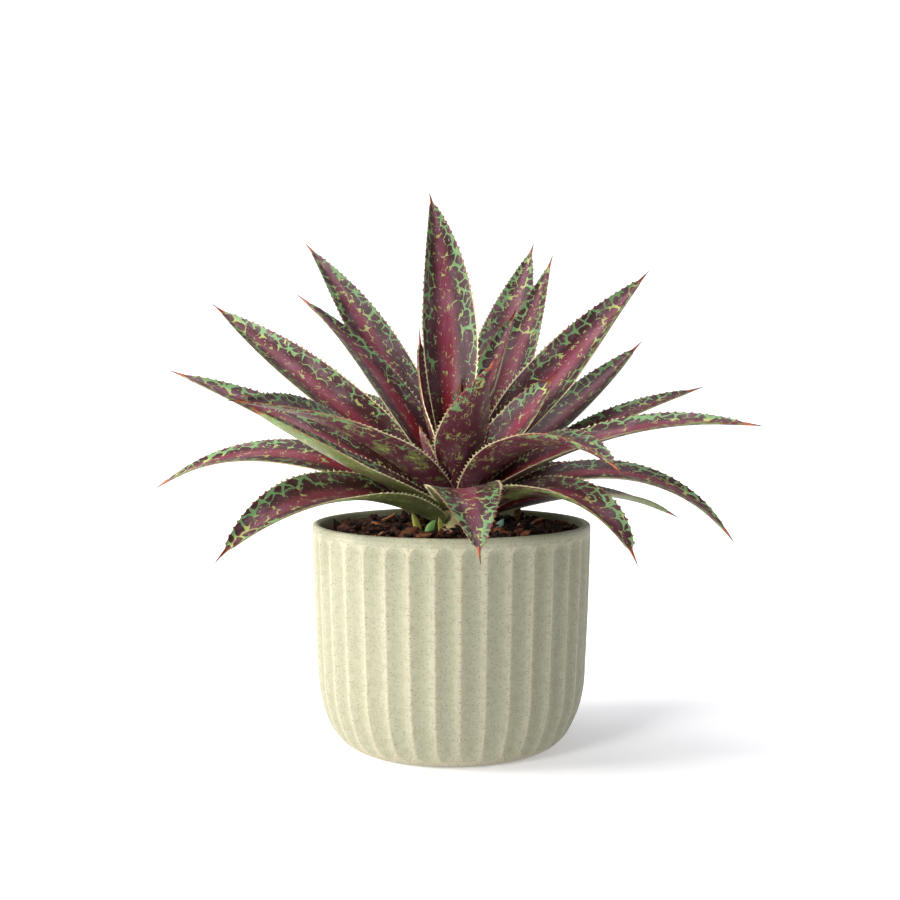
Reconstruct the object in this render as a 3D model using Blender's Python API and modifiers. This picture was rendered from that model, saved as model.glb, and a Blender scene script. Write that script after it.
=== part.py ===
"""Potted mangave: a toothed, arching rosette on a short stem, in bark-topped potting mix,
in a round ceramic pot with concave flutes. The pot stands on its flat foot at z = 0,
with its axis on the Z axis. The viewer's side is -Y. Lengths below are in millimetres."""

import math
import random
from dataclasses import dataclass

import bmesh
import bpy
import numpy as np
from mathutils import Matrix, Vector

MM = 0.001

# Pot
POT_HEIGHT = 120.0
RIM_RADIUS = 75.0
SHOULDER_RADIUS = 72.4  # where the straight wall turns into the rounded bottom
SHOULDER_HEIGHT = 43.0
FOOT_RADIUS = 49.7
WALL = 4.0
FLOOR = 6.0
LIP_ROUND = 1.2
FLUTE_COUNT = 36
FLUTE_TOP = 116.0
FLUTE_ARC_RADIUS = 17.1
FIRST_RIDGE_DEG = -86.7  # the ridge just right of the front
ROUND_STEPS = 72

# Potting mix and bark
GAP = 0.3
SOIL_EDGE_HEIGHT = 115.5
SOIL_CROWN_HEIGHT = 118.6
SOIL_CROWN_RADIUS = 15.0
CHIP_COUNT = 34
CHIP_LENGTH = (5.0, 9.5)
CHIP_SEED = 11

# Stem
PLANT_X = 2.0
STEM_BOTTOM = 100.0
STEM_TOP = 147.0
STEM_RADIUS = 8.0
STEM_TOP_RADIUS = 6.6

# Leaves
LEAF_ROOT = 9.5  # from the stem's axis to the middle of a leaf's root
HEART_ROOT = 8.0
INNER_ROOT = 7.0
BUD_ROOT = 3.2  # the two furled leaves that stand on the stem's top
EDGE_THICKNESS = 0.7
ROOT_THICKNESS = 2.7
FOLD_DEG = (40.0, 26.0, 38.0)  # bend of each half blade at the root, the middle and the tip
STATIONS = (0.0, 0.09, 0.19, 0.3, 0.42, 0.54, 0.66, 0.77, 0.87, 0.95, 1.0)
TOP_ROW = (-1.0, -0.5, 0.0, 0.5, 1.0)
UNDER_ROW = (1.0, 0.0, -1.0)
DEEP_UNDER_ROW = (1.0, 0.5, 0.0, -0.5, -1.0)
DEEP_FOLD = 26.0  # fold times width from which a leaf's underside needs the fuller row
TOOTH_LENGTH = 1.7
TOOTH_BASE = 1.9
TOOTH_SPAN = (0.15, 0.92)


@dataclass(frozen=True)
class Leaf:
    """One leaf: where it leaves the stem, how it arches and how it is rolled."""

    name: str
    azimuth: float  # degrees from +X towards +Y
    root_height: float
    length: float
    width: float
    rise: float  # slope at the root, degrees above level
    tip_rise: float
    sweep: float  # sideways turn along its length, degrees
    roll: float
    tip_roll: float
    fold: float = 1.0  # share of FOLD_DEG
    root_share: float = 0.44  # root width over full width
    teeth: int = 6  # each side
    root: float = LEAF_ROOT


# Lowest root first. Azimuth, root height, length, width, rise, tip rise, sweep, roll, tip roll,
# fold, root share, teeth.
LEAVES = (
    Leaf("leaf_01", -10, 121, 158, 27, 37, -57, -8, 24, 11, 0.45, 0.34, 5),
    Leaf("leaf_02", 217, 121.5, 148, 34.5, 26, -45, 3, -3, -40, 1.05, 0.34, 5),
    Leaf("leaf_03", 27, 121.5, 144, 24.5, 17, -29, 2, 26, -2, 0.50, 0.34, 4),
    Leaf("leaf_04", 60, 121.5, 130, 24.5, 16, -3, 0, 37, 0, 0.65, 0.34, 3),
    Leaf("leaf_05", 149, 121.5, 112, 26, 22, -21, 1, -21, -22, 0.55, 0.36, 3),
    Leaf("leaf_06", -38, 122.5, 124, 34, 33, -63, -7, 2, 9, 0.90, 0.36, 5),
    Leaf("leaf_07", 168, 124, 178, 30, 32, -34, -7, -24, -24, 0.45, 0.38, 5),
    Leaf("leaf_08", 88, 124, 162, 25, -1, 3, -7, -45, 18, 1.30, 0.36, 3),
    Leaf("leaf_09", 273, 129.3, 141, 36.2, 24, -43.5, 4, 10, -9.5, 0.38, 0.44, 5),
    Leaf("leaf_10", 117, 125.5, 138, 31, 19, 2, 0, 3, -25, 1.30, 0.34, 3),
    Leaf("leaf_11", 33, 125.5, 112, 31, 24, -14, 0, 0, 0, 1.00, 0.44, 3),
    Leaf("leaf_12", 172, 127.5, 169, 29.5, 31.5, 19, -4, -16, -28, 0.70, 0.34, 5),
    Leaf("leaf_13", 211, 129.5, 126, 32, 23, 32, 0, -15, -13, 0.70, 0.40, 5),
    Leaf("leaf_14", 112, 129.5, 160, 26.5, 28, 13, 2, -5, 4, 1.00, 0.42, 3),
    Leaf("leaf_15", 23, 130, 156, 28.5, 30, 15, -8, -9, 23, 0.70, 0.34, 5),
    Leaf("leaf_16", -26, 131, 167, 29.5, 34, -8, 3, 24, 16, 0.55, 0.34, 5),
    Leaf("leaf_17", 226, 133, 154, 36, 36, 3, -2, 7, -32, 0.95, 0.50, 5),
    Leaf("leaf_18", 68, 133.5, 149, 24, 29, 12, 4, 21, -2, 0.45, 0.34, 3),
    Leaf("leaf_19", 34, 134, 151, 31, 31, 38, 2, 6, 16, 0.80, 0.38, 5),
    Leaf("leaf_20", -49, 134, 125, 34, 45, -37, 0, 7, -2, 0.85, 0.44, 5),
    Leaf("leaf_21", 110, 134, 127, 20.5, 28, 40, 3, -17, -7, 0.80, 0.34, 4),
    Leaf("leaf_22", 148, 134.5, 190, 35, 34, 34, 5, 1, -47, 1.10, 0.44, 5),
    Leaf("leaf_23", 278, 140, 108, 32.5, 46, 32, 11, 0, 46, 0.90, 0.50, 4),
    Leaf("leaf_24", 128, 140.5, 193, 31.5, 52, 38, 4, -9, -10, 0.50, 0.34, 5),
    Leaf("leaf_25", 65.3, 144.8, 170, 28, 37.7, 62.3, -14.6, 28.4, 2.8, 0.73, 0.34, 5),
    Leaf("leaf_26", 30, 143, 167, 35, 44, 44, -1, 41, 22, 1.20, 0.34, 5),
    Leaf("leaf_27", 152, 145, 136, 31.5, 58, 34, 3, -11, 2, 0.45, 0.46, 5),
    Leaf("leaf_28", 73, 141.6, 212, 34, 39.4, 44.4, -2, 23, 5.2, 0.57, 0.34, 5),
    Leaf("leaf_29", 5, 145.5, 75, 27.5, 44.5, 59, 2, 27, 42.5, 1.00, 0.44, 4),
    Leaf("leaf_30", 197, 145.5, 30, 11, 64, 76, 1, 5, 0, 0.80, 0.60, 2),
    Leaf("leaf_31", 330, 147, 30, 10, 64, 72, 6, -23.5, 0, 1.00, 0.60, 2),
    Leaf("leaf_32", 62, 148.5, 111, 26, 54, 53, -3, -24, -6, 1.30, 0.34, 4, HEART_ROOT),
    Leaf("leaf_33", 140, 148.5, 79, 23, 66, 92, -2, 26, 9, 0.80, 0.38, 3, HEART_ROOT),
    Leaf("leaf_34", 70, 152.5, 36, 12, 72, 82, -4, -38, -3, 0.45, 0.50, 2, INNER_ROOT),
    Leaf("leaf_35", 106, 153, 160, 35, 91, 50, -1, -13, 5, 1.30, 0.34, 5),
    Leaf("leaf_36", 262, 147.9, 46, 13, 86, 60, 85, 0, 0, 1.30, 0.50, 3, BUD_ROOT),
    Leaf("leaf_37", 87, 147.9, 50, 13, 87, 78, -75, 0, 0, 1.30, 0.50, 3, BUD_ROOT),
)

# Young shoots: name, foot, tip, radius and flatness
SHOOTS = (
    ("shoot_01", (-17, -15, 116.8), (-20, -16, 126), 2.4, 0.9),
    ("shoot_02", (-5, -21, 116.8), (-6, -23, 126), 1.9, 0.9),
    ("shoot_03", (25, -10, 116.8), (27, -12, 123.5), 2.3, 0.5),
    ("shoot_04", (-12, -25, 116.8), (-9, -26, 124.5), 2.6, 0.4),
)


def centreline(leaf, stations):
    """Points, tangents, sides and normals of the leaf's middle line at the stations."""
    s = np.linspace(0.0, 1.0, 97)
    rise = np.radians(leaf.rise + (leaf.tip_rise - leaf.rise) * s**1.3)
    turn = np.radians(leaf.azimuth + leaf.sweep * s**1.5)
    tangent = np.stack(
        [np.cos(rise) * np.cos(turn), np.cos(rise) * np.sin(turn), np.sin(rise)], -1
    )
    step = leaf.length / (len(s) - 1)
    point = np.zeros((len(s), 3))
    point[1:] = np.cumsum((tangent[1:] + tangent[:-1]) / 2 * step, axis=0)
    way = math.radians(leaf.azimuth)
    point += (
        PLANT_X + leaf.root * math.cos(way),
        leaf.root * math.sin(way),
        leaf.root_height,
    )
    side = np.stack([-np.sin(turn), np.cos(turn), 0 * turn], -1)
    normal = np.cross(tangent, side)
    return [
        np.stack([np.interp(stations, s, rows[:, k]) for k in range(3)], -1)
        for rows in (point, tangent, side, normal)
    ]


def half_widths(leaf, s):
    """Half width of the blade: widest at 0.38 of its length, then a taper into the spine."""
    root = leaf.root_share + (1 - leaf.root_share) * np.sin(
        np.clip(s / 0.38, 0, 1) * math.pi / 2
    )
    taper = 1 - (np.clip((s - 0.38) / 0.585, 0, 1)) ** 2
    blade = np.where(s < 0.38, root, taper) * leaf.width / 2
    spine = np.where(s > 0.8, 1.15 * np.clip((1 - s) / 0.06, 0, 1) ** 0.9 + 0.15, 0)
    return np.maximum(blade, spine)


def section(leaf, stations, across, under=False):
    """Rows of points over the blade, at each station and each share across."""
    s = np.asarray(stations, float)
    u = np.asarray(across, float)
    point, _, side, normal = centreline(leaf, s)
    roll = np.radians(leaf.roll + (leaf.tip_roll - leaf.roll) * s)[:, None]
    side, normal = (
        side * np.cos(roll) + normal * np.sin(roll),
        normal * np.cos(roll) - side * np.sin(roll),
    )
    bend = np.radians(np.interp(s, (0, 0.45, 1), FOLD_DEG))[:, None] * leaf.fold
    angle = bend * (0.35 + np.abs(u))
    out = (np.sin(angle) - np.sin(0.35 * bend)) / bend * np.sign(u)
    up = (np.cos(0.35 * bend) - np.cos(angle)) / bend
    half = half_widths(leaf, s)[:, None, None]
    rows = point[:, None] + half * (
        out[..., None] * side[:, None] + up[..., None] * normal[:, None]
    )
    if not under:
        return rows
    middle = np.interp(s, (0, 0.5, 0.9, 1), (ROOT_THICKNESS, 2.4, 1.5, 0.7))[:, None]
    thick = EDGE_THICKNESS + (middle - EDGE_THICKNESS) * (1 - np.abs(u[None])) ** 4
    lean = np.where(u[None] == 0, 0.0, angle)[..., None]
    face = np.cos(lean) * normal[:, None] - np.sin(lean) * np.sign(u)[
        None, :, None
    ] * side[:, None]
    return rows - face * thick[..., None]


def mesh_object(name, points_mm, faces, material=None, collection=None):
    """A closed mesh object, its faces turned outwards."""
    mesh = bpy.data.meshes.new(name)
    mesh.from_pydata([tuple(float(c) * MM for c in p) for p in points_mm], [], faces)
    shape = bmesh.new()
    shape.from_mesh(mesh)
    bmesh.ops.recalc_face_normals(shape, faces=shape.faces)
    shape.to_mesh(mesh)
    shape.free()
    obj = bpy.data.objects.new(name, mesh)
    if material:
        mesh.materials.append(material)
    (collection or PARTS).objects.link(obj)
    return obj


def apply_modifiers(obj):
    """Bakes the object's modifiers into its mesh."""
    bpy.context.view_layer.update()
    graph = bpy.context.evaluated_depsgraph_get()
    baked = bpy.data.meshes.new_from_object(obj.evaluated_get(graph))
    obj.modifiers.clear()
    obj.data = baked


def boolean(obj, collection, operation, solver):
    """Joins or cuts with every object of the collection, then removes them."""
    modifier = obj.modifiers.new(operation.lower(), "BOOLEAN")
    modifier.operation = operation
    modifier.solver = solver
    modifier.operand_type = "COLLECTION"
    modifier.collection = collection
    apply_modifiers(obj)
    for helper in list(collection.objects):
        bpy.data.objects.remove(helper)


def principled(name, colour, roughness):
    material = bpy.data.materials.new(name)
    material.use_nodes = True
    shader = material.node_tree.nodes["Principled BSDF"]
    shader.inputs["Base Color"].default_value = (*colour, 1.0)
    shader.inputs["Roughness"].default_value = roughness
    return material


def blade_faces(stations, around):
    """Triangles of a tube of rings with a five-point top and a three-point or five-point underside."""
    faces = []
    for i in range(stations - 1):
        for j in range(around):
            a, b = i * around + j, i * around + (j + 1) % around
            faces += [(a, b, b + around), (a, b + around, a + around)]
    if around == 8:
        cap = [(0, 1, 7), (1, 6, 7), (1, 2, 6), (2, 3, 6), (3, 5, 6), (3, 4, 5)]
    else:
        cap = [t for k in range(4) for t in ((k, k + 1, 9 - k), (k + 1, 8 - k, 9 - k))]
    last = (stations - 1) * around
    faces += [(c, b, a) for a, b, c in cap]
    faces += [(a + last, b + last, c + last) for a, b, c in cap]
    return faces


def tooth_points(leaf, s, edge):
    """Base corners and point of one margin tooth, leaning towards the leaf's tip."""
    near = (s - 0.004, s, s + 0.004)
    top = section(leaf, near, (edge * 0.9, edge))
    low = section(leaf, near, (edge,), under=True)
    at = (top[1, 1] + low[1, 0]) / 2
    outward = top[1, 1] - top[1, 0]
    outward /= np.linalg.norm(outward)
    along = top[2, 1] - top[0, 1]
    along /= np.linalg.norm(along)
    through = np.cross(outward, along)
    shrink = 1.0 - 0.35 * max(0.0, s - 0.6) / 0.4
    length, base = TOOTH_LENGTH * shrink, TOOTH_BASE * shrink
    inner = at - outward * 0.7
    corners = [
        inner + along * base / 2 * a + through * 0.26 * b
        for a, b in ((-1, -1), (1, -1), (1, 1), (-1, 1))
    ]
    return [*corners, at + outward * length + along * base * 0.35]


def add_leaf(leaf, material):
    top = section(leaf, STATIONS, TOP_ROW)
    under_row = DEEP_UNDER_ROW if leaf.fold * leaf.width > DEEP_FOLD else UNDER_ROW
    under = section(leaf, STATIONS, under_row, under=True)
    rings = np.concatenate([top, under], axis=1)
    around = rings.shape[1]
    blade = mesh_object(
        leaf.name, rings.reshape(-1, 3), blade_faces(len(STATIONS), around), material
    )
    points, faces = [], []
    for k in range(leaf.teeth):
        share = (k + 0.5) / leaf.teeth
        for edge, shift in ((-1, -0.12), (1, 0.12)):
            s = TOOTH_SPAN[0] + (TOOTH_SPAN[1] - TOOTH_SPAN[0]) * (
                share + shift / leaf.teeth
            )
            first = len(points)
            points += tooth_points(leaf, s, edge)
            faces += [
                (first, first + 3, first + 2, first + 1),
                *((first + i, first + (i + 1) % 4, first + 4) for i in range(4)),
            ]
    mesh_object(leaf.name + "_teeth", points, faces, None, TEETH)
    boolean(blade, TEETH, "UNION", "MANIFOLD")
    return blade


def pot_radius(z):
    """Outer radius of the plain pot at a height."""
    if z >= SHOULDER_HEIGHT:
        t = (POT_HEIGHT - z) / (POT_HEIGHT - SHOULDER_HEIGHT)
        return RIM_RADIUS + (SHOULDER_RADIUS - RIM_RADIUS) * (0.55 * t + 0.45 * t**2.2)
    u = math.asin(1 - z / SHOULDER_HEIGHT)
    return FOOT_RADIUS + (SHOULDER_RADIUS - FOOT_RADIUS) * math.cos(u) ** 0.95


def revolve(name, profile, steps, material, collection=None):
    """Turns an open profile of (radius, height) that starts and ends on the axis."""
    mesh = bpy.data.meshes.new(name)
    start = math.radians(FIRST_RIDGE_DEG)
    mesh.from_pydata(
        [
            (r * math.cos(start) * MM, r * math.sin(start) * MM, z * MM)
            for r, z in profile
        ],
        [(i, i + 1) for i in range(len(profile) - 1)],
        [],
    )
    obj = bpy.data.objects.new(name, mesh)
    (collection or PARTS).objects.link(obj)
    turn = obj.modifiers.new("turn", "SCREW")
    turn.steps = turn.render_steps = steps
    turn.use_merge_vertices = True
    turn.merge_threshold = 0.00001
    apply_modifiers(obj)
    shape = bmesh.new()
    shape.from_mesh(obj.data)
    bmesh.ops.remove_doubles(shape, verts=shape.verts, dist=0.00001)
    bmesh.ops.recalc_face_normals(shape, faces=shape.faces)
    bmesh.ops.triangulate(shape, faces=shape.faces)
    shape.to_mesh(obj.data)
    shape.free()
    if material:
        obj.data.materials.append(material)
    return obj


def flute_cutter(name):
    """One concave flute: arcs stacked along the wall, closing to a round arch at the top."""
    arch_base = FLUTE_TOP - 6.6
    levels = [1.0, 7.0, 20.0, SHOULDER_HEIGHT, arch_base]
    levels += [arch_base + 6.6 * math.sin(math.radians(a)) for a in (35, 62, 82)]
    points = []
    arc = [math.radians(a) for a in (-26, -13, 0, 13, 26)]
    for z in levels:
        wall = pot_radius(z)
        pitch = 2 * math.pi * wall / FLUTE_COUNT
        depth = 1.04 * pitch**2 / (8 * FLUTE_ARC_RADIUS)
        if z < 12.0:
            depth -= 1.4 * ((12.0 - z) / 11.0) ** 2
        centre = wall + FLUTE_ARC_RADIUS - depth
        radius = math.sqrt(FLUTE_ARC_RADIUS**2 - max(0.0, z - arch_base) ** 2)
        points += [
            (centre - radius * math.cos(a), radius * math.sin(a), z) for a in arc
        ]
        points += [(wall + 6.0, 7.7, z), (wall + 6.0, -7.7, z)]
    around = len(arc) + 2
    faces = []
    for i in range(len(levels) - 1):
        for j in range(around):
            a, b = i * around + j, i * around + (j + 1) % around
            faces += [(a, b, b + around), (a, b + around, a + around)]
    last = (len(levels) - 1) * around
    faces += [tuple(range(around))[::-1], tuple(range(last, last + around))]
    return mesh_object(name, points, faces, None, CUTTERS)


def add_pot(material):
    inner = RIM_RADIUS - WALL
    outer = [(pot_radius(z), z) for z in (0, 2, 7, 20, SHOULDER_HEIGHT, 80)]
    lip = [
        (RIM_RADIUS, POT_HEIGHT - LIP_ROUND),
        (RIM_RADIUS - LIP_ROUND, POT_HEIGHT),
        (inner + LIP_ROUND, POT_HEIGHT),
        (inner, POT_HEIGHT - LIP_ROUND),
    ]
    cavity = [(r, z) for r, z in mix_profile(0.0)][::-1]
    pot = revolve("pot", [(0, 0), *outer, *lip, *cavity], ROUND_STEPS, material)
    shape = flute_cutter("flute_00").data
    bpy.data.objects.remove(bpy.data.objects["flute_00"])
    for k in range(FLUTE_COUNT):
        cutter = bpy.data.objects.new(f"flute_{k:02d}", shape)
        angle = math.radians(FIRST_RIDGE_DEG + (k + 0.5) * 360 / FLUTE_COUNT)
        cutter.matrix_world = Matrix.Rotation(angle, 4, "Z")
        CUTTERS.objects.link(cutter)
    boolean(pot, CUTTERS, "DIFFERENCE", "MANIFOLD")
    return pot


def mix_profile(gap):
    """Side and floor of the potting mix, a gap inside the pot's cavity, from the floor up."""
    inner = RIM_RADIUS - WALL - gap
    low = FLOOR + gap
    return [(0, low), (FOOT_RADIUS - 1.5 - gap, low), (inner - 4, 40), (inner - 0.6, 76)]


def add_mix(material, bark):
    side = mix_profile(GAP)
    top_side = RIM_RADIUS - WALL - GAP
    hole = STEM_RADIUS + GAP
    rise = SOIL_CROWN_HEIGHT - SOIL_EDGE_HEIGHT
    surface = [
        (top_side, SOIL_EDGE_HEIGHT),
        (55.0, SOIL_EDGE_HEIGHT + 0.35 * rise),
        (35.0, SOIL_EDGE_HEIGHT + 0.75 * rise),
        (SOIL_CROWN_RADIUS, SOIL_CROWN_HEIGHT),
        (0, SOIL_CROWN_HEIGHT),
    ]
    mix = revolve("potting_mix", side + surface, 36, material)
    drill = revolve(
        "stem_hole",
        [(0, STEM_BOTTOM - GAP), (hole, STEM_BOTTOM - GAP), (hole, 130), (0, 130)],
        24, None, CUTTERS,
    )
    drill.location.x = PLANT_X * MM
    for name, foot, _, radius, _ in SHOOTS:
        wide = radius + 0.9
        low = foot[2] - 1.0 - GAP
        hole_profile = [(0, low), (wide, low), (wide, 125), (0, 125)]
        socket = revolve(name + "_hole", hole_profile, 12, None, CUTTERS)
        socket.location = (foot[0] * MM, foot[1] * MM, 0)
    boolean(mix, CUTTERS, "DIFFERENCE", "EXACT")
    draw = random.Random(CHIP_SEED)
    for k in range(CHIP_COUNT):
        radius = 27 + 38 * math.sqrt((k + draw.random()) / CHIP_COUNT)
        angle = k * 2.39996 + draw.uniform(-0.2, 0.2)
        share = (top_side - radius) / (top_side - SOIL_CROWN_RADIUS)
        ground = SOIL_EDGE_HEIGHT + rise * min(1.0, share) ** 0.8
        add_chip(k, draw, radius, angle, ground, bark)
    boolean(mix, CHIPS, "UNION", "MANIFOLD")
    return mix


def add_chip(k, draw, radius, angle, ground, bark):
    """One bark chip: a wedge-shaped slab, tilted a little and half sunk in the mix."""
    length = draw.uniform(*CHIP_LENGTH)
    width = length * draw.uniform(0.45, 0.7)
    height = draw.uniform(2.4, 3.6)
    x, y, z = length / 2, width / 2, height / 2
    taper = draw.uniform(0.5, 0.8)
    corners = [(-x, -y, -z), (x, -y * taper, -z), (x, y * taper, -z), (-x, y, -z),
               (-x, -y, z), (x, -y * taper, z * 0.5), (x, y * taper, z * 0.5), (-x, y, z)]
    faces = [(0, 3, 2, 1), (4, 5, 6, 7), (0, 1, 5, 4), (1, 2, 6, 5), (2, 3, 7, 6), (3, 0, 4, 7)]
    turn = Matrix.Rotation(draw.uniform(0, math.tau), 3, "Z")
    tilt = Matrix.Rotation(draw.uniform(-0.28, 0.28), 3, "X")
    tip = Matrix.Rotation(draw.uniform(-0.28, 0.28), 3, "Y")
    at = Vector((radius * math.cos(angle), radius * math.sin(angle), ground + 0.25 * height))
    points = [at + turn @ tilt @ tip @ Vector(c) for c in corners]
    mesh_object(f"chip_{k:02d}", points, faces, bark, CHIPS)


def add_stem(material):
    stem = revolve(
        "stem",
        [(0, STEM_BOTTOM), (STEM_RADIUS, STEM_BOTTOM), (STEM_RADIUS, 128),
         (STEM_TOP_RADIUS, STEM_TOP - 2), (STEM_TOP_RADIUS - 2, STEM_TOP), (0, STEM_TOP)],
        24, material,
    )
    stem.location.x = PLANT_X * MM
    return stem


def add_shoot(name, base, tip, radius, flat, material):
    """A young shoot: a slender spindle from the mix to its tip, flattened one way."""
    base, tip = Vector(base), Vector(tip)
    along = (tip - base).normalized()
    side = along.cross(Vector((0, 1, 0))).normalized()
    other = along.cross(side)
    points, sides = [], 8
    for t, share in ((0.0, 0.8), (0.25, 1.0), (0.55, 0.85), (0.82, 0.5), (1.0, 0.12)):
        centre = base.lerp(tip, t)
        for k in range(sides):
            a = math.tau * k / sides
            points.append(
                centre + (side * math.cos(a) + other * math.sin(a) * flat) * radius * share
            )
    faces = []
    for i in range(4):
        for j in range(sides):
            a, b = i * sides + j, i * sides + (j + 1) % sides
            faces += [(a, b, b + sides), (a, b + sides, a + sides)]
    faces += [tuple(range(sides))[::-1], tuple(range(4 * sides, 5 * sides))]
    return mesh_object(name, points, faces, material)


def new_collection(name, hidden):
    collection = bpy.data.collections.new(name)
    bpy.context.scene.collection.children.link(collection)
    collection.hide_render = hidden
    return collection


for item in list(bpy.data.objects):
    bpy.data.objects.remove(item)
PARTS = new_collection("parts", False)
CUTTERS = new_collection("cutters", True)
CHIPS = new_collection("chips", True)
TEETH = new_collection("teeth", True)

leaf_flesh = principled("leaf_flesh", (0.2, 0.07, 0.06), 0.5)
stoneware = principled("stoneware_glaze", (0.52, 0.52, 0.42), 0.55)
potting_mix = principled("potting_mix", (0.05, 0.025, 0.015), 0.9)
bark_chips = principled("bark_chips", (0.12, 0.05, 0.03), 0.85)
stem_tissue = principled("stem_tissue", (0.45, 0.42, 0.25), 0.6)
shoot_tissue = principled("shoot_tissue", (0.33, 0.4, 0.12), 0.5)

add_pot(stoneware)
add_mix(potting_mix, bark_chips)
add_stem(stem_tissue)
for pup in SHOOTS:
    add_shoot(*pup, shoot_tissue)
for each in LEAVES:
    add_leaf(each, leaf_flesh)
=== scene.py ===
"""The look of a potted mangave: spotted, toothed leaves over bark-topped mix in a fluted stoneware pot.

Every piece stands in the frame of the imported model, in metres. Its sizes are written in millimetres.
"""

import logging
import math
from dataclasses import dataclass
from enum import Enum
from typing import Any

import bpy
import numpy as np
from mathutils import Euler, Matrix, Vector, noise

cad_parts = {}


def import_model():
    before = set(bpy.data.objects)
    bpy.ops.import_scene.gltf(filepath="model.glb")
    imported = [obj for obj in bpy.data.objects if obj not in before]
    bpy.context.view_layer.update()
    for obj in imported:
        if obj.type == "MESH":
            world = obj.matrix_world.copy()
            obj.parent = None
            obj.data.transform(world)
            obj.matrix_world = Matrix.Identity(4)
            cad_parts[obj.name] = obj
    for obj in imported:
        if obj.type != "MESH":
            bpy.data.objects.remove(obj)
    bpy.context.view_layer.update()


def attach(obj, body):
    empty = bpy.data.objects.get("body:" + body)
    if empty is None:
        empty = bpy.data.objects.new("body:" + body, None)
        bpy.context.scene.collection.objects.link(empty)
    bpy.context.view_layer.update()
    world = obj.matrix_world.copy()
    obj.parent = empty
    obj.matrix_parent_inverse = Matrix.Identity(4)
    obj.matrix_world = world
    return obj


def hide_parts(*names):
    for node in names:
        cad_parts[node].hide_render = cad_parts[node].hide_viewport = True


Pair = tuple[float, float]
Triple = tuple[float, float, float]
Array = np.ndarray
Piece = bpy.types.Object
Material = bpy.types.Material

LOG = logging.getLogger("mangave")
MM = 0.001
BODY = "root"

# The plant stands a little to one side of the pot's axis. Leaf roots lie this far from the stem's.
PLANT_X = 2.0
LEAF_ROOT = 9.5
HEART_ROOT = 8.0
INNER_ROOT = 7.0
BUD_ROOT = 3.2
# How finely a leaf's midline is worked out, and the rings from its last tooth to its tip.
MIDLINE_STEPS = 193
SPINE_RINGS = 14
# Each bark chip lies this far round from the one before it, so that they never line up.
GOLDEN_TURN_DEG = 137.508


class Slot(Enum):
    """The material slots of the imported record."""

    POT = "pot"
    MIX = "mix"
    STEM = "stem"
    LEAF = "leaf"
    SHOOT = "shoot"


class Side(Enum):
    """Which margin of a leaf a row of teeth is on."""

    RIGHT = 1
    LEFT = -1


@dataclass(frozen=True)
class LeafPlan:
    """One leaf: where it leaves the stem, how it arches and how it is rolled. Millimetres and degrees."""

    name: str
    azimuth: float
    root_height: float
    length: float
    width: float
    rise: float
    tip_rise: float
    sweep: float
    roll: float
    tip_roll: float
    fold: float
    root_share: float
    root: float = LEAF_ROOT


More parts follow.
